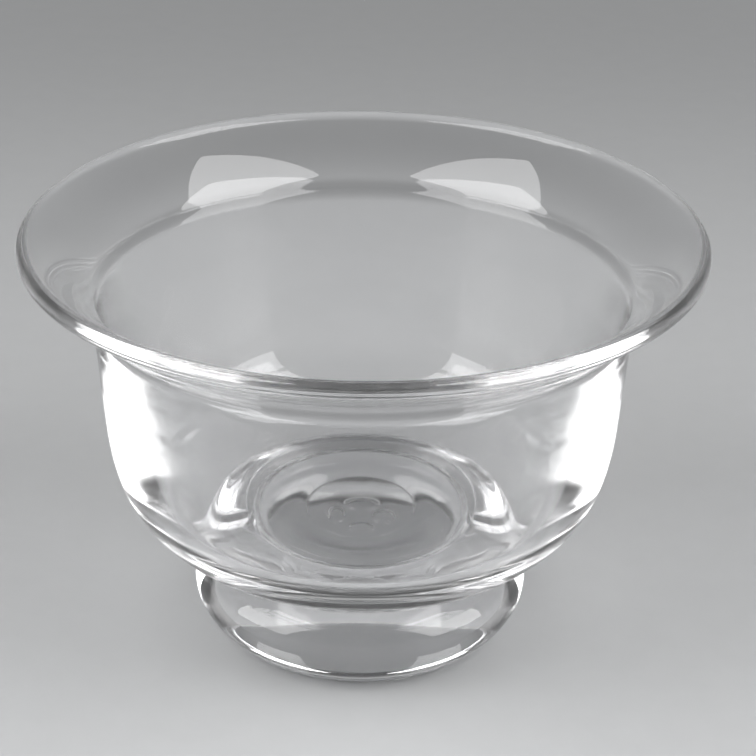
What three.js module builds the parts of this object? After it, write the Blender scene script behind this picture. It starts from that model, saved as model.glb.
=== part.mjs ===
// A heavy clear crystal bowl: a deep bowl with a flared, fire-polished rim, fused to a thick
// bun-shaped foot that is hollow underneath. Millimetres, +Z up, origin at the centre of the
// flat ring that it stands on.

import * as THREE from 'three';

// Bowl over all: across the rim, and from the table to the top of the lip.
const RIM_DIAMETER = 230;
const TOTAL_HEIGHT = 147;

// Lip: the round bead at the edge, and how steeply the flare climbs into it.
const LIP_THICKNESS = 6;
const LIP_SLOPE_DEG = 28;

// Neck: the narrowest place under the flare, in from the rim and down from the top of the lip.
const FLARE_REACH = 23.8;
const NECK_DROP = 26.5;
const NECK_WALL = 2.2;
const NECK_SLOPE_DEG = 83;
const NECK_INNER_SLOPE_DEG = 79;

// Bend: the tight turn just over the neck, out and up from it.
const BEND_REACH = 3.2;
const BEND_RISE = 6.5;
const BEND_WALL = 3.9;
const BEND_SLOPE_DEG = 52;

// Shoulder: where the wall has turned halfway under, in from the neck and up from the joint.
const SHOULDER_INSET = 17.5;
const SHOULDER_RISE = 15.2;
const SHOULDER_WALL = 8.9;
const SHOULDER_SLOPE_DEG = 45;
const SHOULDER_INNER_SLOPE_DEG = 26;

// Bottom: the slope at which the underside meets the foot, and the glass over the joint.
const UNDERSIDE_SLOPE_DEG = 12;
const FLOOR_THICKNESS = 11.3;

// Foot: a thick bun, widest between its two round sides. Its top is the joint.
const FOOT_DIAMETER = 115.4;
const FOOT_UPPER_HEIGHT = 12.2;
const FOOT_LOWER_HEIGHT = 18.6;
const JOINT_INSET = 13.5;

// Flat ring under the foot: how far in it starts, the curve that runs down to it, and its width.
const BASE_INSET = 11.7;
const FOOT_CURVE_REACH = 31.9;
const BASE_RING_WIDTH = 2.5;

// Hollow under the foot: a short drum that widens to its mouth, with a tight round corner on top.
const HOLLOW_TAPER = 2;
const MOUTH_SLOPE_DEG = 105;
const CORNER_REACH = 5;
const CORNER_RISE = 5;

// Ceiling of the hollow: its slope at the corner, and the glass left over its rim and its middle.
const CEILING_SLOPE_DEG = 4;
const CEILING_THICKNESS = 3.3;
const CROWN_THICKNESS = 5.8;

// Pontil mark: the shallow dish ground and polished into the middle of the ceiling.
const PONTIL_DIAMETER = 41;
const PONTIL_DEPTH = 1.4;

// Handles of the smooth stretches, as shares of each stretch's straight length: lower end first.
const UNDERSIDE_PULLS = [0.295, 0.385];
const WALL_PULLS = [0.29, 0.51];
const BEND_PULLS = [0.36, 0.36];
const FLARE_PULLS = [0.3, 0.33];
const FLOOR_PULLS = [0.52, 0.18];
const INNER_WALL_PULLS = [0.19, 0.58];
const CEILING_PULLS = [0.33, 0.33];
const CORNER_PULLS = [0.39, 0.39];
const HOLLOW_PULLS = [0.4, 0.4];

// Steps round the axis, and along each kind of stretch.
const STEPS_AROUND = 64;
const STEPS_WALL = 8;
const STEPS_BOTTOM = 4;
const STEPS_BEND = 2;
const STEPS_FLARE = 4;
const STEPS_LIP_UNDER = 3;
const STEPS_LIP_OUTER = 4;
const STEPS_LIP_INNER = 2;
const STEPS_FOOT = 7;
const STEPS_HOLLOW = 3;
const STEPS_CORNER = 4;
const STEPS_CEILING = 2;
const STEPS_PONTIL = 3;

// Angles in the outline's plane: 0 points outwards, and a quarter turn from it points up.
const OUTWARDS = 0;
const QUARTER_TURN = 90;
const DOWNWARDS = -QUARTER_TURN;

const jointHeight = FOOT_LOWER_HEIGHT + FOOT_UPPER_HEIGHT;
const footRadius = FOOT_DIAMETER / 2;
const jointRadius = footRadius - JOINT_INSET;

function point(radius, height) {
  return new THREE.Vector2(radius, height);
}

// Unit step in the outline's plane.
function heading(degrees) {
  const angle = THREE.MathUtils.degToRad(degrees);
  return point(Math.cos(angle), Math.sin(angle));
}

// Smooth stretch between two points, leaving and arriving in the given directions.
function blend(from, fromDegrees, to, toDegrees, [fromPull, toPull]) {
  const length = from.distanceTo(to);
  const leave = from.clone().addScaledVector(heading(fromDegrees), fromPull * length);
  const arrive = to.clone().addScaledVector(heading(toDegrees), -toPull * length);
  return new THREE.CubicBezierCurve(from, leave, arrive, to);
}

// Stretch of an ellipse round a centre, anticlockwise from one angle to another.
function ellipse(centre, across, up, fromAngle, toAngle) {
  return new THREE.EllipseCurve(centre.x, centre.y, across, up, fromAngle, toAngle);
}

// Points along several stretches laid end to end, each given as its curve and its steps.
function outline(stretches) {
  const points = [];
  for (const [curve, steps] of stretches) {
    const run = curve.getPoints(steps);
    points.push(...(points.length > 0 ? run.slice(1) : run));
  }
  return points;
}

// Outline turned round the upright axis. The outline starts and ends on that axis.
function turned(points) {
  const geometry = new THREE.LatheGeometry(points, STEPS_AROUND);
  geometry.rotateX(QUARTER_TURN * THREE.MathUtils.DEG2RAD);
  return geometry;
}

function glassMaterial() {
  return new THREE.MeshStandardMaterial({
    color: 0xe8eef0,
    roughness: 0.03,
    metalness: 0,
    transparent: true,
    opacity: 0.4,
  });
}

// Point on the other face of the wall, square across it from a point on its outside.
function acrossWall(outside, slopeDegrees, wall) {
  return outside.clone().addScaledVector(heading(slopeDegrees + QUARTER_TURN), wall);
}

// The bowl: flat joint face, underside, wall, flare and lip, then the inside from floor to lip.
function bowl() {
  const bead = LIP_THICKNESS / 2;
  const lipCentre = point(RIM_DIAMETER / 2 - bead, TOTAL_HEIGHT - bead);
  const neck = point(RIM_DIAMETER / 2 - FLARE_REACH, TOTAL_HEIGHT - NECK_DROP);
  const bend = point(neck.x + BEND_REACH, neck.y + BEND_RISE);
  const shoulder = point(neck.x - SHOULDER_INSET, jointHeight + SHOULDER_RISE);
  const joint = point(jointRadius, jointHeight);
  const lipUnder = acrossWall(lipCentre, LIP_SLOPE_DEG, -bead);
  const lipOver = acrossWall(lipCentre, LIP_SLOPE_DEG, bead);
  const underAngle = THREE.MathUtils.degToRad(LIP_SLOPE_DEG - QUARTER_TURN);
  const overAngle = THREE.MathUtils.degToRad(LIP_SLOPE_DEG + QUARTER_TURN);
  const outside = outline([
    [new THREE.LineCurve(point(0, jointHeight), joint), 1],
    [blend(joint, UNDERSIDE_SLOPE_DEG, shoulder, SHOULDER_SLOPE_DEG, UNDERSIDE_PULLS), STEPS_BOTTOM],
    [blend(shoulder, SHOULDER_SLOPE_DEG, neck, NECK_SLOPE_DEG, WALL_PULLS), STEPS_WALL],
    [blend(neck, NECK_SLOPE_DEG, bend, BEND_SLOPE_DEG, BEND_PULLS), STEPS_BEND],
    [blend(bend, BEND_SLOPE_DEG, lipUnder, LIP_SLOPE_DEG, FLARE_PULLS), STEPS_FLARE],
    [ellipse(lipCentre, bead, bead, underAngle, 0), STEPS_LIP_UNDER],
    [ellipse(lipCentre, bead, bead, 0, Math.PI / 2), STEPS_LIP_OUTER],
    [ellipse(lipCentre, bead, bead, Math.PI / 2, overAngle), STEPS_LIP_INNER],
  ]);

  const floor = point(0, jointHeight + FLOOR_THICKNESS);
  const turn = acrossWall(shoulder, SHOULDER_SLOPE_DEG, SHOULDER_WALL);
  const innerNeck = acrossWall(neck, NECK_SLOPE_DEG, NECK_WALL);
  const innerBend = acrossWall(bend, BEND_SLOPE_DEG, BEND_WALL);
  const inside = outline([
    [blend(floor, OUTWARDS, turn, SHOULDER_INNER_SLOPE_DEG, FLOOR_PULLS), STEPS_BOTTOM],
    [blend(turn, SHOULDER_INNER_SLOPE_DEG, innerNeck, NECK_INNER_SLOPE_DEG, INNER_WALL_PULLS), STEPS_WALL],
    [blend(innerNeck, NECK_INNER_SLOPE_DEG, innerBend, BEND_SLOPE_DEG, BEND_PULLS), STEPS_BEND],
    [blend(innerBend, BEND_SLOPE_DEG, lipOver, LIP_SLOPE_DEG, FLARE_PULLS), STEPS_FLARE],
  ]);
  const mesh = new THREE.Mesh(turned([...outside, ...inside.reverse().slice(1)]), glassMaterial());
  mesh.name = 'bowl';
  return mesh;
}

// Shallow cap of a sphere, from its top on the axis out to its edge.
function cap(edge, depth) {
  const radius = (edge.x ** 2 + depth ** 2) / (2 * depth);
  const edgeAngle = Math.PI / 2 - Math.asin(edge.x / radius);
  return new THREE.EllipseCurve(0, edge.y + depth - radius, radius, radius, Math.PI / 2, edgeAngle, true);
}

// The hollow: pontil mark, ceiling, corner and wall, from the axis down to the mouth.
function hollow(mouth) {
  const pontilEdge = point(PONTIL_DIAMETER / 2, jointHeight - CROWN_THICKNESS);
  const wallTop = point(mouth.x - HOLLOW_TAPER, jointHeight - CEILING_THICKNESS - CORNER_RISE);
  const corner = point(wallTop.x - CORNER_REACH, wallTop.y + CORNER_RISE);
  const outOfMouth = MOUTH_SLOPE_DEG - 2 * QUARTER_TURN;
  return [
    [cap(pontilEdge, PONTIL_DEPTH), STEPS_PONTIL],
    [blend(pontilEdge, OUTWARDS, corner, CEILING_SLOPE_DEG, CEILING_PULLS), STEPS_CEILING],
    [blend(corner, CEILING_SLOPE_DEG, wallTop, DOWNWARDS, CORNER_PULLS), STEPS_CORNER],
    [blend(wallTop, DOWNWARDS, mouth, outOfMouth, HOLLOW_PULLS), STEPS_HOLLOW],
  ];
}

// The foot: hollow, flat ring, lower side, upper side, and the flat joint on top.
function foot() {
  const widestCentre = point(footRadius - FOOT_CURVE_REACH, FOOT_LOWER_HEIGHT);
  const upperCentre = point(jointRadius, FOOT_LOWER_HEIGHT);
  const ringOuter = point(footRadius - BASE_INSET, 0);
  const mouth = point(ringOuter.x - BASE_RING_WIDTH, 0);

  // The lower side follows an ellipse that the table's plane cuts where the flat ring starts.
  const cutAngle = Math.acos((FOOT_CURVE_REACH - BASE_INSET) / FOOT_CURVE_REACH);
  const curveDrop = FOOT_LOWER_HEIGHT / Math.sin(cutAngle);
  const points = outline([
    ...hollow(mouth),
    [new THREE.LineCurve(mouth, ringOuter), 1],
    [ellipse(widestCentre, FOOT_CURVE_REACH, curveDrop, -cutAngle, 0), STEPS_FOOT],
    [ellipse(upperCentre, JOINT_INSET, FOOT_UPPER_HEIGHT, 0, Math.PI / 2), STEPS_FOOT],
    [new THREE.LineCurve(point(jointRadius, jointHeight), point(0, jointHeight)), 1],
  ]);
  const mesh = new THREE.Mesh(turned(points), glassMaterial());
  mesh.name = 'foot';
  return mesh;
}

const crystalBowl = new THREE.Group();
crystalBowl.add(bowl());
crystalBowl.add(foot());

export default crystalBowl;
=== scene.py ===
"""A heavy clear crystal bowl on a thick hollow foot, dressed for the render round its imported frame.

Both pieces are bodies of revolution. Each is a profile, in millimetres, turned round the upright
axis as a grid of two parameters: the row along the profile and the angle round the axis.
"""

import logging
import math
from dataclasses import dataclass, field
from enum import Enum
from typing import Sequence

import bpy
import numpy as np
from mathutils import Matrix


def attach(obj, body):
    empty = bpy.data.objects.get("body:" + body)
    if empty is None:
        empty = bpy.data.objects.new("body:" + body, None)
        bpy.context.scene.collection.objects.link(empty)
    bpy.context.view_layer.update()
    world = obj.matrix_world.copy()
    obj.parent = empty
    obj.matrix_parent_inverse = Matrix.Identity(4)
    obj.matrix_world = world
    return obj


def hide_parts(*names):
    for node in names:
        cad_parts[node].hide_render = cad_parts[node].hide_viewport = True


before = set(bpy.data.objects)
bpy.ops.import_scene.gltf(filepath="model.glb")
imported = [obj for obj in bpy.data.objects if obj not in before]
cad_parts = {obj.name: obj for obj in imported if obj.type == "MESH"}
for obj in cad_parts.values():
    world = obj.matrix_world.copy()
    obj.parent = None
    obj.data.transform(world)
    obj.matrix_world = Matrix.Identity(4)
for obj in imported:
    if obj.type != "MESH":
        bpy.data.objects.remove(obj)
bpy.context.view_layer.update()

log = logging.getLogger("crystal_bowl")

MM = 0.001
OUTWARDS = 0.0
UP = 90.0
INWARDS = 180.0
DOWN = -90.0

# Share of the straight length for the two handles of each curve, from its start to its end.
UNDERSIDE_PULLS = (0.295, 0.385)
WALL_PULLS = (0.29, 0.51)
BEND_PULLS = (0.36, 0.36)
FLARE_PULLS = (0.3, 0.33)
FLOOR_PULLS = (0.52, 0.18)
INNER_WALL_PULLS = (0.19, 0.58)
CEILING_PULLS = (0.33, 0.33)
CORNER_PULLS = (0.39, 0.39)
HOLLOW_PULLS = (0.4, 0.4)
EDGE_PULLS = (0.5, 0.5)
CREASE_PULLS = (0.6, 0.6)

# Edges sharper than this stay crisp. Only the circle where the fused faces start is.
CRISP_EDGE_DEGREES = 50.0


class Zone(Enum):
    """Finish of a stretch of surface. The value is the material slot of its faces."""

    FIRE_POLISHED = 0
    FUSED = 1
    GROUND = 2
    PONTIL = 3
    SPUN_WALL = 4


# Profiles


@dataclass
class Stretch:
    """Part of a profile.

    Attributes:
        points: One row of radius and height in millimetres for each step.
        zone: Finish of the surface that the stretch turns into.
        ripple: How much of the hand-made waviness it carries, from 0 to 1.
    """

    points: np.ndarray
    zone: Zone = Zone.FIRE_POLISHED
    ripple: float = 0.0

    def backwards(self) -> "Stretch":
        """The same stretch, run from its end to its start."""
        return Stretch(self.points[::-1], self.zone, self.ripple)


def heading(degrees: float) -> np.ndarray:
    """Unit step in the profile's plane, where 0 points outwards and 90 up."""
    angle = math.radians(degrees)
    return np.array([math.cos(angle), math.sin(angle)])


def blend(
    start: np.ndarray,
    start_degrees: float,
    end: np.ndarray,
    end_degrees: float,
    pulls: Sequence[float],
    steps: int,
) -> np.ndarray:
    """Smooth stretch between two points, as a cubic curve.

    Formula: the four control points are weighed by the binomial terms of (1 - t) and t. The
    inner two lie along the given directions, at a share of the straight length.

    Args:
        start: First point, radius and height.
        start_degrees: Direction in which the curve leaves it.
        end: Last point.
        end_degrees: Direction in which the curve arrives.
        pulls: Share of the straight length for the handle at the start and at the end.
        steps: Number of steps.

    Returns:
        An array of steps + 1 points.
    """
    start, end = np.asarray(start, float), np.asarray(end, float)
    length = float(np.hypot(*(end - start)))
    leave = start + heading(start_degrees) * pulls[0] * length
    arrive = end - heading(end_degrees) * pulls[1] * length
    t = np.linspace(0.0, 1.0, steps + 1)[:, None]
    s = 1.0 - t
    return s**3 * start + 3 * s * s * t * leave + 3 * s * t * t * arrive + t**3 * end


def ellipse(
    centre: np.ndarray, across: float, up: float, start: float, end: float, steps: int
) -> np.ndarray:
    """Stretch of an ellipse.

    Formula: centre plus the half widths times the cosine and the sine of the angle.

    Args:
        centre: Centre, radius and height.
        across: Half width along the radius.
        up: Half height.
        start: First angle in degrees.
        end: Last angle in degrees.
        steps: Number of steps.

    Returns:
        An array of steps + 1 points.
    """
    angle = np.radians(np.linspace(start, end, steps + 1))
    return np.asarray(centre) + np.stack([across * np.cos(angle), up * np.sin(angle)], 1)


def line(start: Sequence[float], end: Sequence[float], steps: int) -> np.ndarray:
    """Straight stretch in equal steps."""
    return np.linspace(np.asarray(start, float), np.asarray(end, float), steps + 1)


def across_wall(outside: np.ndarray, degrees: float, wall: float) -> np.ndarray:
    """Point on the other face of the wall, square across it from a point on its outside."""
    return outside + heading(degrees + UP) * wall


# Surfaces


@dataclass
class Waviness:
    """The faint rings and cords that spinning and reheating leave in a blown wall.

    Attributes:
        rings: Height of the rings, in millimetres.
        pitch: Distance from ring to ring.
        cords: Height of the slow swell round the axis.
        phase: Where the pattern starts, so that no two surfaces match.
    """

    rings: float = 0.0004
    pitch: float = 9.0
    cords: float = 0.004
    phase: float = 0.0

    def offset(self, along: np.ndarray, angle: np.ndarray) -> np.ndarray:
        """How far the surface stands off its ideal form.

        Formula: two sines of the distance along the profile, whose phase drifts with the sine
        of the angle, plus a slow product of sines of the angle and the distance.

        Args:
            along: Distance along the profile, in millimetres, as a column.
            angle: Angle round the axis, in radians, as a row.

        Returns:
            A grid of offsets along the surface's normal, in millimetres.
        """
        turn = 2 * math.pi * along / self.pitch
        drift = 0.9 * np.sin(angle + self.phase) + 0.5 * np.sin(2 * angle - 2 * self.phase)
        rings = np.sin(turn + drift + self.phase) + 0.5 * np.sin(1.63 * turn - drift)
        swell = np.sin(3 * angle + along / 23 + self.phase) * np.sin(along / 17 - self.phase)
        return self.rings * rings + self.cords * swell


@dataclass
class Mark:
    """A shallow hollow in a face that looks down, pressed a little way into the glass.

    Attributes:
        x: Place of its centre, in millimetres.
        y: Place of its centre.
        across: Half width in x.
        along: Half width in y.
        depth: Depth in the middle.
    """

    x: float
    y: float
    across: float
    along: float
    depth: float

    def rise(self, x: np.ndarray, y: np.ndarray) -> np.ndarray:
        """Height that the mark adds. Formula: the depth over 1 plus the 12th power of the reach."""
        reach = ((x - self.x) / self.across) ** 2 + ((y - self.y) / self.along) ** 2
        return self.depth / (1 + reach**6)


def end_window(count: int) -> np.ndarray:
    """Weight from 0 at both ends of a stretch to 1 inside it. Formula: sine squared over an eighth."""
    t = np.linspace(0, 1, count)
    return np.sin(np.clip(np.minimum(t, 1 - t) * 8, 0, 1) * math.pi / 2) ** 2


@dataclass
class TurnedPiece:
    """A closed profile from axis to axis, turned into one closed mesh.

    Attributes:
        name: Name of the piece.
        stretches: The profile, laid end to end. It starts and ends on the axis.
        steps_around: Number of steps round the axis.
        waviness: The waviness of its fire-polished skin.
        marks: Marks in the pontil's dish.
    """

    name: str
    stretches: list[Stretch]
    steps_around: int
    waviness: Waviness
    marks: list[Mark] = field(default_factory=list)

    def laid_out(self) -> tuple[np.ndarray, np.ndarray, np.ndarray]:
        """Joins the stretches.

        Returns:
            The points, the ripple share of each point and the material slot of each step.
        """
        points, ripple, slots = [], [], []
        for number, stretch in enumerate(self.stretches):
            first = 0 if number == 0 else 1
            points.append(stretch.points[first:])
            ripple.append((stretch.ripple * end_window(len(stretch.points)))[first:])
            slots.append(np.full(len(stretch.points) - 1, stretch.zone.value))
        return np.concatenate(points), np.concatenate(ripple), np.concatenate(slots)

    def grid(self, points: np.ndarray, ripple: np.ndarray) -> np.ndarray:
        """Places of all points that lie off the axis.

        Formula: the radius times the cosine and sine of the angle, and the height, after the
        profile's point has moved along its normal by the waviness.

        Args:
            points: Radius and height for each row.
            ripple: Share of the waviness for each row.

        Returns:
            An array of rows, steps round the axis and three coordinates, in millimetres.
        """
        angle = np.linspace(0, 2 * math.pi, self.steps_around, endpoint=False)[None, :]
        step = np.gradient(points, axis=0)
        step /= np.maximum(np.hypot(step[:, :1], step[:, 1:]), 1e-9)
        along = np.concatenate([[0], np.cumsum(np.hypot(*np.diff(points, axis=0).T))])[:, None]
        offset = ripple[:, None] * self.waviness.offset(along, angle)
        radius = points[:, :1] + offset * step[:, 1:]
        height = points[:, 1:] - offset * step[:, :1]
        x, y = radius * np.cos(angle), radius * np.sin(angle)
        return np.stack([x, y, height + 0 * x], -1)

    def build(self) -> bpy.types.Object:
        """Makes the mesh, smooth but for its crisp edges.

        Returns:
            The object, at the origin, with its place in its mesh.
        """
        points, ripple, slots = self.laid_out()
        rows, around = len(points) - 2, self.steps_around
        grid = self.grid(points, ripple)
        inner = grid[1:-1].copy()
        poles = np.array([[0, 0, points[0, 1]], [0, 0, points[-1, 1]]])
        dish = np.concatenate([[s == Zone.PONTIL.value for s in slots], [False]])[1:-1]
        for mark in self.marks:
            inner[dish, :, 2] += mark.rise(inner[dish, :, 0], inner[dish, :, 1])
            if slots[0] == Zone.PONTIL.value:
                poles[0, 2] += float(mark.rise(np.array(0.0), np.array(0.0)))

        column = np.arange(around)
        following = (column + 1) % around
        base = np.arange(rows - 1)[:, None] * around
        quads = np.stack(
            [base + column, base + following, base + around + following, base + around + column], -1
        ).reshape(-1, 4)
        low, high = rows * around, rows * around + 1
        last = (rows - 1) * around
        start_fan = np.stack([np.full(around, low), following, column], -1)
        end_fan = np.stack([np.full(around, high), last + column, last + following], -1)
        vertices = np.concatenate([inner.reshape(-1, 3), poles]) * MM
        face_slots = np.concatenate(
            [np.repeat(slots[1:-1], around), np.full(around, slots[0]), np.full(around, slots[-1])]
        )
        faces = quads.tolist() + start_fan.tolist() + end_fan.tolist()
        if self.turns_inwards(points):
            faces = [face[::-1] for face in faces]

        mesh = bpy.data.meshes.new(self.name)
        mesh.from_pydata(vertices.tolist(), [], faces)
        mesh.polygons.foreach_set("material_index", face_slots.astype(np.int32))
        mesh.polygons.foreach_set("use_smooth", np.ones(len(faces), bool))
        mesh.update()
        mesh.set_sharp_from_angle(angle=math.radians(CRISP_EDGE_DEGREES))
        piece = bpy.data.objects.new(self.name, mesh)
        bpy.context.scene.collection.objects.link(piece)
        return piece

    @staticmethod
    def turns_inwards(points: np.ndarray) -> bool:
        """Whether the faces would point into the glass.

        Formula: the signed volume of the turned profile, which is the sum of the mean radius
        squared times the change of height over all steps.
        """
        radius, height = points.T
        mean = (radius[1:] ** 2 + radius[1:] * radius[:-1] + radius[:-1] ** 2) / 3
        return bool(np.sum(mean * np.diff(height)) < 0)


# Finishes


def linear(colour: str) -> tuple[float, float, float, float]:
    """Turns an sRGB hex value such as #f4f6f7 into linear light, with full alpha."""
    parts = [int(colour[i : i + 2], 16) / 255 for i in (1, 3, 5)]
    return (*(p / 12.92 if p <= 0.04045 else ((p + 0.055) / 1.055) ** 2.4 for p in parts), 1.0)


def add_node(
    tree: bpy.types.NodeTree,
    kind: str,
    inputs: dict[str | int, object] | None = None,
    **settings: object,
) -> bpy.types.Node:
    """Adds a node.

    Args:
        tree: The material's or world's nodes.
        kind: Type of the node, without its Shader prefix.
        inputs: For each input, either its value or the socket that feeds it.
        **settings: The node's own options.

    Returns:
        The node.
    """
    node = tree.nodes.new("ShaderNode" + kind)
    for name, value in settings.items():
        setattr(node, name, value)
    for name, value in (inputs or {}).items():
        if isinstance(value, bpy.types.NodeSocket):
            tree.links.new(value, node.inputs[name])
        else:
            node.inputs[name].default_value = value
    return node


def new_tree(material: bpy.types.Material | bpy.types.World) -> bpy.types.NodeTree:
    """Gives a material or a world empty nodes."""
    material.use_nodes = True
    material.node_tree.nodes.clear()
    return material.node_tree


@dataclass(frozen=True)
class CrystalFinish:
    """Clear crystal, and how its skin was made.

    Attributes:
        name: Name of the material.
        tint: Colour of thin glass.
        deep_tint: Colour where the melt is a trace denser.
        refraction: Index of refraction.
        roughness: Roughness of the clean skin.
        worn_roughness: Roughness of the rubbed parts.
        wear_size: Size of the rubbed parts, in millimetres.
        wear_from: Noise level above which the skin is rubbed, from 0 to 1.
        skin_size: Size of the skin's faint swells, in millimetres.
        skin_height: Height of those swells, in millimetres.
        skin_stretch: How many times longer than wide they are, up the wall.
    """

    name: str
    tint: str = "#ffffff"
    deep_tint: str = "#fafafb"
    refraction: float = 1.52
    roughness: float = 0.015
    worn_roughness: float = 0.045
    wear_size: float = 28.0
    wear_from: float = 0.55
    skin_size: float = 16.0
    skin_height: float = 0.005
    skin_stretch: float = 1.0

    def material(self) -> bpy.types.Material:
        """Builds the nodes.

        Returns:
            The material.
        """
        made = bpy.data.materials.new(self.name)
        tree = new_tree(made)
        place = add_node(tree, "TexCoord").outputs["Object"]
        melt = add_node(tree, "TexNoise", {"Vector": place, "Scale": 1 / (40 * MM), "Detail": 1.0})
        tint = add_node(
            tree, "Mix", {0: melt.outputs["Fac"], 6: linear(self.tint), 7: linear(self.deep_tint)},
            data_type="RGBA",
        )
        rubbed = add_node(
            tree, "TexNoise", {"Vector": place, "Scale": 1 / (self.wear_size * MM), "Detail": 3.0}
        )
        roughness = add_node(
            tree, "MapRange",
            {
                "Value": rubbed.outputs["Fac"],
                "From Min": self.wear_from,
                "From Max": self.wear_from + 0.2,
                "To Min": self.roughness,
                "To Max": self.worn_roughness,
            },
        )
        upright = add_node(
            tree, "VectorMath", {0: place, 1: (1.0, 1.0, 1 / self.skin_stretch)}, operation="MULTIPLY"
        ).outputs["Vector"]
        swell = add_node(
            tree, "TexNoise", {"Vector": upright, "Scale": 1 / (self.skin_size * MM), "Detail": 0.0}
        )
        skin = add_node(
            tree, "Bump",
            {"Height": swell.outputs["Fac"], "Strength": 1.0, "Distance": self.skin_height * MM},
        )
        glass = add_node(
            tree, "BsdfPrincipled",
            {
                "Base Color": tint.outputs[2],
                "Roughness": roughness.outputs["Result"],
                "IOR": self.refraction,
                "Transmission Weight": 1.0,
                "Normal": skin.outputs["Normal"],
            },
        )
        add_node(tree, "OutputMaterial", {"Surface": glass.outputs["BSDF"]})
        return made


@dataclass(frozen=True)
class FusedFinish:
    """The face where two gathers of hot glass became one: light goes straight through.

    Attributes:
        name: Name of the material.
    """

    name: str = "fused_joint_in_clear_crystal"

    def material(self) -> bpy.types.Material:
        """Builds the nodes. Nothing shows at such a face, so it has no colour and no gloss."""
        made = bpy.data.materials.new(self.name)
        tree = new_tree(made)
        clear = add_node(tree, "BsdfTransparent")
        add_node(tree, "OutputMaterial", {"Surface": clear.outputs["BSDF"]})
        return made


@dataclass(frozen=True)
class FloorFinish:
    """Matt painted board, pale grey: it takes a soft shadow and gives the glass no pattern.

    Far from the bowl it fades into the horizon, so that no edge shows from any side.

    Attributes:
        name: Name of the material.
        colour: Colour of the paint.
        grain: Second colour of its faint mottling.
        distance: Colour that it fades to.
        fade_from: Distance from the bowl at which the fade starts, in metres.
        fade_to: Distance at which it ends.
    """

    name: str = "matt_painted_board"
    colour: str = "#b8b9ba"
    grain: str = "#b4b5b6"
    distance: str = "#aaabac"
    fade_from: float = 0.45
    fade_to: float = 1.3

    def material(self) -> bpy.types.Material:
        """Builds the nodes.

        Returns:
            The material.
        """
        made = bpy.data.materials.new(self.name)
        tree = new_tree(made)
        place = add_node(tree, "TexCoord").outputs["Object"]
        mottle = add_node(tree, "TexNoise", {"Vector": place, "Scale": 1 / (12 * MM), "Detail": 4.0})
        colour = add_node(
            tree, "Mix", {0: mottle.outputs["Fac"], 6: linear(self.colour), 7: linear(self.grain)},
            data_type="RGBA",
        )
        paint = add_node(
            tree, "BsdfPrincipled",
            {"Base Color": colour.outputs[2], "Roughness": 0.85, "Specular IOR Level": 0.2},
        )
        reach = add_node(tree, "VectorMath", {0: place}, operation="LENGTH").outputs["Value"]
        far = add_node(
            tree, "MapRange",
            {"Value": reach, "From Min": self.fade_from, "From Max": self.fade_to},
            interpolation_type="SMOOTHSTEP",
        ).outputs["Result"]
        ray = add_node(tree, "LightPath").outputs
        mirrored = add_node(
            tree, "Math", {0: ray["Is Camera Ray"], 1: ray["Is Glossy Ray"]}, operation="MAXIMUM"
        ).outputs[0]
        seen = add_node(
            tree, "Math", {0: mirrored, 1: ray["Is Transmission Ray"]}, operation="MAXIMUM"
        ).outputs[0]
        share = add_node(tree, "Math", {0: far, 1: seen}, operation="MULTIPLY").outputs[0]
        horizon = add_node(tree, "Emission", {"Color": linear(self.distance), "Strength": 1.0})
        board = add_node(
            tree, "MixShader", {0: share, 1: paint.outputs["BSDF"], 2: horizon.outputs["Emission"]}
        )
        add_node(tree, "OutputMaterial", {"Surface": board.outputs["Shader"]})
        return made


@dataclass
class Finishes:
    """The materials of the bowl, one for each zone, in the order of the zones."""

    # Crystal glass, reheated at the furnace until its skin ran smooth. It gives the eye a wet gloss
    # with sharp highlights, and a clear view into the depth of the glass.
    fire_polished: CrystalFinish = CrystalFinish("fire_polished_clear_crystal")

    # Two gathers of the same glass, pressed together hot. The eye sees no face there, only the
    # small round crease that runs about its edge.
    fused: FusedFinish = FusedFinish()

    # Crystal glass ground flat on an iron wheel with wet sand. It gives the eye a thin frosted
    # ring. The pits of the grit are about 0.05 mm wide, too fine to show, and are drawn 0.6 mm wide.
    ground: CrystalFinish = CrystalFinish(
        "ground_ring_of_clear_crystal",
        roughness=0.12, worn_roughness=0.4, wear_size=2.5, wear_from=0.45,
        skin_size=0.6, skin_height=0.01,
    )

    # Crystal glass polished on a cork wheel, where the pontil was broken off. It is as clear as the
    # rest, with slow dents some 5 mm wide that give the eye small bent highlights.
    pontil: CrystalFinish = CrystalFinish(
        "wheel_polished_clear_crystal",
        roughness=0.01, worn_roughness=0.03, wear_size=6.0, wear_from=0.5,
        skin_size=5.0, skin_height=0.015,
    )

    # Crystal glass spun open with a wooden tool. Faint upright draws, about 3.5 mm from one to the
    # next, soften what the wall mirrors a little, so that its bright bands end softly.
    spun_wall: CrystalFinish = CrystalFinish(
        "spun_wall_of_clear_crystal",
        roughness=0.04, worn_roughness=0.055,
        skin_size=3.5, skin_height=0.002, skin_stretch=9.0,
    )

    def dress(self, piece: bpy.types.Object) -> None:
        """Puts the materials into the piece's slots, in the order of the zones."""
        for finish in (self.fire_polished, self.fused, self.ground, self.pontil, self.spun_wall):
            known = bpy.data.materials.get(finish.name)
            piece.data.materials.append(known or finish.material())


# The bowl and its foot


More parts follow.
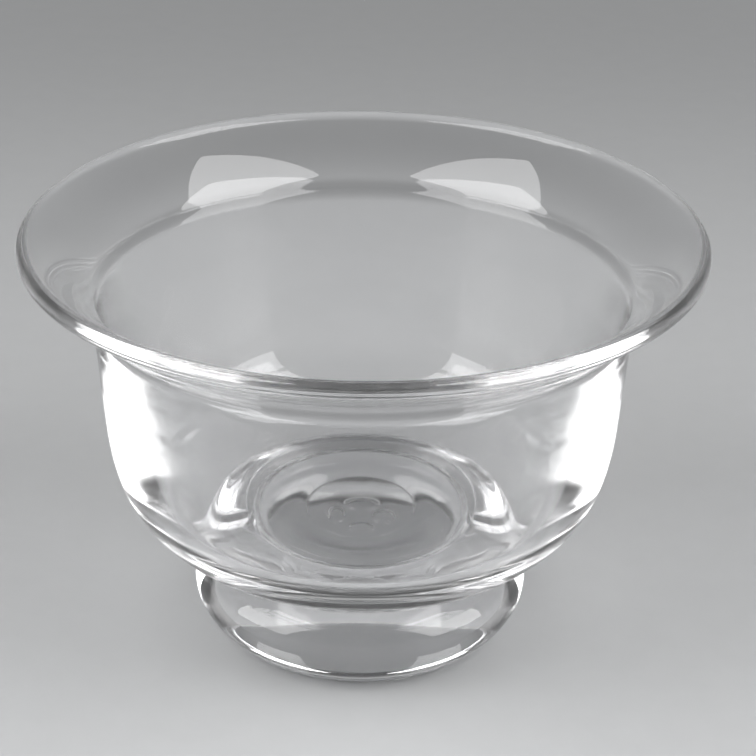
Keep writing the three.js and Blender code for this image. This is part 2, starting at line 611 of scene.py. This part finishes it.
@dataclass
class Joint:
    """The fused joint: a circle with a small round crease that runs round it.

    Attributes:
        radius: Radius at which the underside of the bowl ends, in millimetres.
        height: Height of that circle over the table.
        crease_height: Height of the round crease under it.
        crease_depth: How far the crease runs in under that circle.
    """

    radius: float = 44.2
    height: float = 30.8
    crease_height: float = 1.2
    crease_depth: float = 0.9

    @property
    def upper(self) -> np.ndarray:
        """Upper edge of the crease, on the bowl."""
        return np.array([self.radius, self.height])

    @property
    def middle(self) -> np.ndarray:
        """Deepest line of the crease, where the fused faces start."""
        return self.upper - [self.crease_depth, self.crease_height / 2]

    @property
    def lower(self) -> np.ndarray:
        """Lower edge of the crease, on the foot."""
        return self.upper - [0, self.crease_height]


@dataclass
class Bowl:
    """The bowl: a heavy floor, a round shoulder, a nearly upright wall and a flared lip.

    The sizes are in millimetres and degrees, as the frame has them.
    """

    joint: Joint
    rim_diameter: float = 230.0
    total_height: float = 147.0
    lip_thickness: float = 6.0
    lip_slope: float = 28.0
    flare_reach: float = 23.8
    neck_drop: float = 26.5
    neck_wall: float = 2.2
    neck_slope: float = 83.0
    neck_inner_slope: float = 79.0
    bend_reach: float = 3.2
    bend_rise: float = 6.5
    bend_wall: float = 3.9
    bend_slope: float = 52.0
    shoulder_inset: float = 17.5
    shoulder_rise: float = 15.2
    shoulder_wall: float = 8.9
    shoulder_slope: float = 45.0
    shoulder_inner_slope: float = 26.0
    underside_slope: float = 12.0
    floor_thickness: float = 11.3
    steps_around: int = 192

    def outside(self) -> list[Stretch]:
        """The outer face, from the crease up to the top of the lip."""
        bead = self.lip_thickness / 2
        lip = self.lip_centre()
        under = across_wall(lip, self.lip_slope, -bead)
        neck, bend, shoulder = self.neck(), self.bend(), self.shoulder()
        joint = self.joint.upper
        belly = blend(joint, self.underside_slope, shoulder, self.shoulder_slope, UNDERSIDE_PULLS, 44)
        wall = blend(shoulder, self.shoulder_slope, neck, self.neck_slope, WALL_PULLS, 110)
        turn = blend(neck, self.neck_slope, bend, self.bend_slope, BEND_PULLS, 14)
        flare = blend(bend, self.bend_slope, under, self.lip_slope, FLARE_PULLS, 40)
        return [
            Stretch(belly, ripple=0.6),
            Stretch(wall, Zone.SPUN_WALL, 1.0),
            Stretch(turn),
            Stretch(flare, ripple=0.4),
            Stretch(ellipse(lip, bead, bead, self.lip_slope - 90, 0, 9)),
            Stretch(ellipse(lip, bead, bead, 0, 90, 12)),
            Stretch(ellipse(lip, bead, bead, 90, self.lip_slope + 90, 5)),
        ]

    def inside(self) -> list[Stretch]:
        """The inner face, from the axis up to the top of the lip."""
        bead = self.lip_thickness / 2
        over = across_wall(self.lip_centre(), self.lip_slope, bead)
        middle = np.array([0.0, self.joint.height + self.floor_thickness])
        shoulder = across_wall(self.shoulder(), self.shoulder_slope, self.shoulder_wall)
        neck = across_wall(self.neck(), self.neck_slope, self.neck_wall)
        bend = across_wall(self.bend(), self.bend_slope, self.bend_wall)
        low, high = self.shoulder_inner_slope, self.neck_inner_slope
        floor = blend(middle, OUTWARDS, shoulder, low, FLOOR_PULLS, 70)
        wall = blend(shoulder, low, neck, high, INNER_WALL_PULLS, 110)
        turn = blend(neck, high, bend, self.bend_slope, BEND_PULLS, 14)
        flare = blend(bend, self.bend_slope, over, self.lip_slope, FLARE_PULLS, 40)
        return [
            Stretch(floor, ripple=0.15),
            Stretch(wall, Zone.SPUN_WALL, 1.0),
            Stretch(turn),
            Stretch(flare, ripple=0.4),
        ]

    def lip_centre(self) -> np.ndarray:
        """Centre of the lip's round bead."""
        bead = self.lip_thickness / 2
        return np.array([self.rim_diameter / 2 - bead, self.total_height - bead])

    def neck(self) -> np.ndarray:
        """Narrowest place on the outside, under the flare."""
        return np.array([self.rim_diameter / 2 - self.flare_reach, self.total_height - self.neck_drop])

    def bend(self) -> np.ndarray:
        """Upper end of the tight turn over the neck."""
        return self.neck() + [self.bend_reach, self.bend_rise]

    def shoulder(self) -> np.ndarray:
        """Where the wall has turned halfway under."""
        return np.array([self.neck()[0] - self.shoulder_inset, self.joint.height + self.shoulder_rise])

    def build(self, finishes: Finishes) -> bpy.types.Object:
        """Makes and dresses the bowl.

        Args:
            finishes: The materials.

        Returns:
            The bowl, riding on the root body in place of its frame node.
        """
        middle = self.joint.middle
        crease = blend(middle, UP, self.joint.upper, self.underside_slope, CREASE_PULLS, 8)
        stretches = [
            Stretch(line([0, middle[1]], middle, 4), Zone.FUSED),
            Stretch(crease),
            *self.outside(),
            *[stretch.backwards() for stretch in reversed(self.inside())],
        ]
        piece = TurnedPiece("crystal_bowl", stretches, self.steps_around, Waviness(phase=0.4)).build()
        finishes.dress(piece)
        return placed(piece, "bowl")


@dataclass
class Foot:
    """The foot: a thick bun with a drum-shaped hollow, standing on a flat ground ring.

    The sizes are in millimetres and degrees, as the frame has them.
    """

    joint: Joint
    diameter: float = 115.4
    lower_height: float = 18.6
    base_inset: float = 11.7
    curve_reach: float = 31.9
    ring_width: float = 2.5
    edge: float = 0.6
    mouth_slope: float = 105.0
    hollow_taper: float = 2.0
    corner_reach: float = 5.0
    corner_rise: float = 5.0
    ceiling_slope: float = 4.0
    ceiling_thickness: float = 3.3
    crown_thickness: float = 5.8
    pontil_diameter: float = 41.0
    pontil_depth: float = 1.4
    pontil_edge: float = 0.5
    steps_around: int = 256

    # Dents in the polished pontil mark, set towards the front, where they show through the floor.
    # Their places and depth are chosen for the look from there, and not measured.
    marks: list[Mark] = field(
        default_factory=lambda: [
            Mark(0.4, 0.6, 6.0, 3.6, 0.8),
            Mark(-9.0, -6.0, 2.8, 4.8, 0.8),
            Mark(8.6, -7.2, 4.0, 4.0, 0.8),
            Mark(0.4, -14.0, 4.2, 2.6, 0.8),
        ]
    )

    def hollow(self) -> list[Stretch]:
        """The pontil's dish, the ceiling, its tight corner and the wall, down to the mouth."""
        mouth, edge = self.mouth(), self.pontil_edge
        wall = np.array(
            [mouth[0] - self.hollow_taper, self.joint.height - self.ceiling_thickness - self.corner_rise]
        )
        corner = wall + [-self.corner_reach, self.corner_rise]
        dish = np.array([self.pontil_diameter / 2, self.joint.height - self.crown_thickness])
        inner, outer = dish + [-edge, edge * 0.55], dish + [edge, 0]
        radius = (inner[0] ** 2 + self.pontil_depth**2) / (2 * self.pontil_depth)
        reach = math.degrees(math.asin(inner[0] / radius))
        centre = np.array([0.0, inner[1] + self.pontil_depth - radius])
        out, slope = self.mouth_slope - INWARDS, self.ceiling_slope
        return [
            Stretch(ellipse(centre, radius, radius, UP, UP - reach, 96), Zone.PONTIL),
            Stretch(blend(inner, -reach - 25, outer, OUTWARDS, EDGE_PULLS, 6)),
            Stretch(blend(outer, OUTWARDS, corner, slope, CEILING_PULLS, 24), ripple=0.2),
            Stretch(blend(corner, slope, wall, DOWN, CORNER_PULLS, 28)),
            Stretch(blend(wall, DOWN, mouth + [0, self.edge], out, HOLLOW_PULLS, 40), ripple=0.3),
        ]

    def side(self) -> list[Stretch]:
        """The ground ring and the outside, from the mouth up to the crease."""
        edge, mouth = self.edge, self.mouth()
        ring = np.array([self.diameter / 2 - self.base_inset, edge])
        centre = np.array([self.diameter / 2 - self.curve_reach, self.lower_height])
        cut = math.acos((ring[0] - centre[0]) / self.curve_reach)
        drop = (self.lower_height - edge) / math.sin(cut)
        slope = math.degrees(math.atan2(drop * math.cos(cut), self.curve_reach * math.sin(cut)))
        crease = self.joint.lower
        widest = np.array([crease[0], self.lower_height])
        across = self.diameter / 2 - crease[0]
        flat_from, flat_to = mouth + [edge, 0], ring + [-1.2 * edge, -edge]
        out = self.mouth_slope - INWARDS
        return [
            Stretch(blend(mouth + [0, edge], out, flat_from, OUTWARDS, EDGE_PULLS, 6)),
            Stretch(line(flat_from, flat_to, 5), Zone.GROUND),
            Stretch(blend(flat_to, OUTWARDS, ring, slope, EDGE_PULLS, 6)),
            Stretch(ellipse(centre, self.curve_reach, drop, -math.degrees(cut), 0, 48), ripple=0.4),
            Stretch(ellipse(widest, across, crease[1] - self.lower_height, 0, 90, 40), ripple=0.4),
        ]

    def mouth(self) -> np.ndarray:
        """Inner edge of the flat ring."""
        return np.array([self.diameter / 2 - self.base_inset - self.ring_width, 0.0])

    def build(self, finishes: Finishes) -> bpy.types.Object:
        """Makes and dresses the foot.

        Args:
            finishes: The materials.

        Returns:
            The foot, riding on the root body in place of its frame node.
        """
        middle = self.joint.middle
        crease = blend(self.joint.lower, INWARDS, middle, UP, CREASE_PULLS, 8)
        stretches = [
            *self.hollow(),
            *self.side(),
            Stretch(crease),
            Stretch(line(middle, [0, middle[1]], 4), Zone.FUSED),
        ]
        waves = Waviness(rings=0.0006, pitch=7.0, cords=0.004, phase=1.9)
        piece = TurnedPiece("crystal_foot", stretches, self.steps_around, waves, self.marks).build()
        finishes.dress(piece)
        return placed(piece, "foot")


def placed(piece: bpy.types.Object, node: str) -> bpy.types.Object:
    """Lets a piece ride on the root body in place of a frame node, which it hides."""
    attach(piece, "root")
    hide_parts(node)
    log.info("%s stands for %s: %d faces", piece.name, node, len(piece.data.polygons))
    return piece


# The studio


@dataclass(frozen=True)
class Softbox:
    """A flat soft lamp that faces a point over the table.

    Attributes:
        name: Name of the lamp.
        place: Where its centre hangs, in metres.
        size: Width and height, in metres.
        radiance: Brightness of its cloth, where 1 is white.
        target: Point that it faces.
    """

    name: str
    place: tuple[float, float, float]
    size: tuple[float, float]
    radiance: float
    target: tuple[float, float, float] = (0.0, 0.0, 0.1)

    def build(self) -> None:
        """Hangs the lamp, which the camera sees only in the glass.

        Formula: its power is the radiance times pi times its area.
        """
        lamp = bpy.data.lights.new(self.name, "AREA")
        lamp.shape = "RECTANGLE"
        lamp.size, lamp.size_y = self.size
        lamp.energy = self.radiance * math.pi * self.size[0] * self.size[1]
        holder = bpy.data.objects.new(self.name, lamp)
        holder.visible_camera = False
        bpy.context.scene.collection.objects.link(holder)
        place, target = np.array(self.place), np.array(self.target)
        back = (place - target) / np.linalg.norm(place - target)
        right = np.cross([0, 0, 1], back)
        right /= np.linalg.norm(right)
        holder.matrix_world = framed(right, np.cross(back, right), back, place)
        log.info("lamp %s at %s", self.name, self.place)


def framed(right: np.ndarray, up: np.ndarray, back: np.ndarray, place: np.ndarray) -> Matrix:
    """Matrix of an object from its three axes and its place."""
    rows = np.eye(4)
    rows[:3, 0], rows[:3, 1], rows[:3, 2], rows[:3, 3] = right, up, back, place
    return Matrix(rows.tolist())


@dataclass(frozen=True)
class Camera:
    """The camera at the photograph's angle. It looks at the middle of the rim, then turns a little.

    Attributes:
        distance: Distance from the middle of the rim, in metres.
        elevation: Height over the rim's plane, in degrees.
        yaw: Turn to the side after that.
        pitch: Turn downwards.
        roll: Turn round the line of sight.
        lens: Focal length on a sensor 36 mm wide.
        rim_height: Height of the middle of the lip over the table, in metres.
    """

    distance: float = 0.92
    elevation: float = 23.482
    yaw: float = 0.325
    pitch: float = 2.852
    roll: float = -0.724
    lens: float = 131.73
    rim_height: float = 0.144

    def build(self) -> None:
        """Places the camera and makes it the scene's own."""
        e, y, p, r = (math.radians(a) for a in (self.elevation, self.yaw, self.pitch, self.roll))
        back = np.array([0.0, -math.cos(e), math.sin(e)])
        right = np.array([1.0, 0.0, 0.0])
        axes = np.stack([right, np.cross(back, right), back])
        turn_yaw = [[math.cos(y), 0, math.sin(y)], [0, 1, 0], [-math.sin(y), 0, math.cos(y)]]
        turn_pitch = [[1, 0, 0], [0, math.cos(p), -math.sin(p)], [0, math.sin(p), math.cos(p)]]
        turn_roll = [[math.cos(r), -math.sin(r), 0], [math.sin(r), math.cos(r), 0], [0, 0, 1]]
        axes = np.array(turn_roll) @ np.array(turn_pitch) @ np.array(turn_yaw) @ axes
        lens = bpy.data.cameras.new("camera")
        lens.sensor_fit, lens.sensor_width, lens.lens = "HORIZONTAL", 36.0, self.lens
        lens.clip_start = 0.01
        camera = bpy.data.objects.new("camera", lens)
        bpy.context.scene.collection.objects.link(camera)
        camera.matrix_world = framed(*axes, self.distance * back + [0, 0, self.rim_height])
        bpy.context.scene.camera = camera


@dataclass
class Studio:
    """A pale floor under a dim studio, lit by softboxes.

    Attributes:
        floor_radius: Reach of the floor, in metres.
        floor_steps: Number of steps round its edge.
        floor_gap: Distance from the foot's ring down to the floor, in metres.
        horizon: Brightness of the studio at the horizon.
        ceiling: Brightness of the studio overhead.
        light_steps: How often light may turn inside the thick glass before it is lost.
        softboxes: The lamps.
    """

    floor_radius: float = 4.0
    floor_steps: int = 96
    floor_gap: float = 0.0002
    horizon: float = 0.4
    ceiling: float = 0.03
    light_steps: int = 32
    softboxes: list[Softbox] = field(
        default_factory=lambda: [
            Softbox("left_softbox", (-0.71, -0.31, 0.62), (0.75, 1.12), 4.7),
            Softbox("right_softbox", (0.71, -0.31, 0.62), (0.75, 1.12), 4.7),
        ]
    )

    def floor(self) -> bpy.types.Object:
        """Lays the floor.

        Formula: one circle of points round a middle point, joined into a fan.

        Returns:
            The floor, marked as stage.
        """
        angle = np.linspace(0, 2 * math.pi, self.floor_steps, endpoint=False)
        ring = np.stack([np.cos(angle), np.sin(angle), 0 * angle], 1) * self.floor_radius
        points = np.concatenate([[[0, 0, 0]], ring])
        number = np.arange(self.floor_steps)
        fan = np.stack([0 * number, 1 + number, 1 + (number + 1) % self.floor_steps], 1)
        mesh = bpy.data.meshes.new("floor")
        mesh.from_pydata(points.tolist(), [], fan.tolist())
        mesh.materials.append(FloorFinish().material())
        floor = bpy.data.objects.new("floor", mesh)
        bpy.context.scene.collection.objects.link(floor)
        floor.location = (0, 0, -self.floor_gap)
        return floor

    def air(self) -> None:
        """Makes the world: pale at the horizon, dim overhead, by the height of the view's direction."""
        world = bpy.data.worlds.new("studio")
        bpy.context.scene.world = world
        tree = new_tree(world)
        direction = add_node(tree, "TexCoord").outputs["Generated"]
        height = add_node(tree, "SeparateXYZ", {"Vector": direction}).outputs["Z"]
        fade = add_node(
            tree, "MapRange",
            {
                "Value": height,
                "From Min": 0.0,
                "From Max": 0.35,
                "To Min": self.horizon,
                "To Max": self.ceiling,
            },
            interpolation_type="SMOOTHSTEP",
        )
        light = add_node(
            tree, "Background", {"Color": linear("#ffffff"), "Strength": fade.outputs["Result"]}
        )
        add_node(tree, "OutputWorld", {"Surface": light.outputs["Background"]})

    def light_paths(self) -> None:
        """Lets light run on inside the wall, from bend to lip, as it does in real crystal."""
        paths = bpy.context.scene.cycles
        paths.max_bounces = paths.glossy_bounces = paths.transmission_bounces = self.light_steps

    def build(self) -> None:
        """Lays the floor, makes the air and hangs the lamps."""
        self.floor()
        self.air()
        self.light_paths()
        for softbox in self.softboxes:
            softbox.build()
        bpy.context.scene.view_settings.view_transform = "Standard"


def main() -> None:
    """Builds the bowl, its foot and the studio, in that order."""
    logging.basicConfig(level=logging.INFO, format="%(name)s: %(message)s")
    joint = Joint()
    finishes = Finishes()
    Bowl(joint).build(finishes)
    Foot(joint).build(finishes)
    Studio().build()
    Camera().build()


if __name__ == "__main__":
    main()
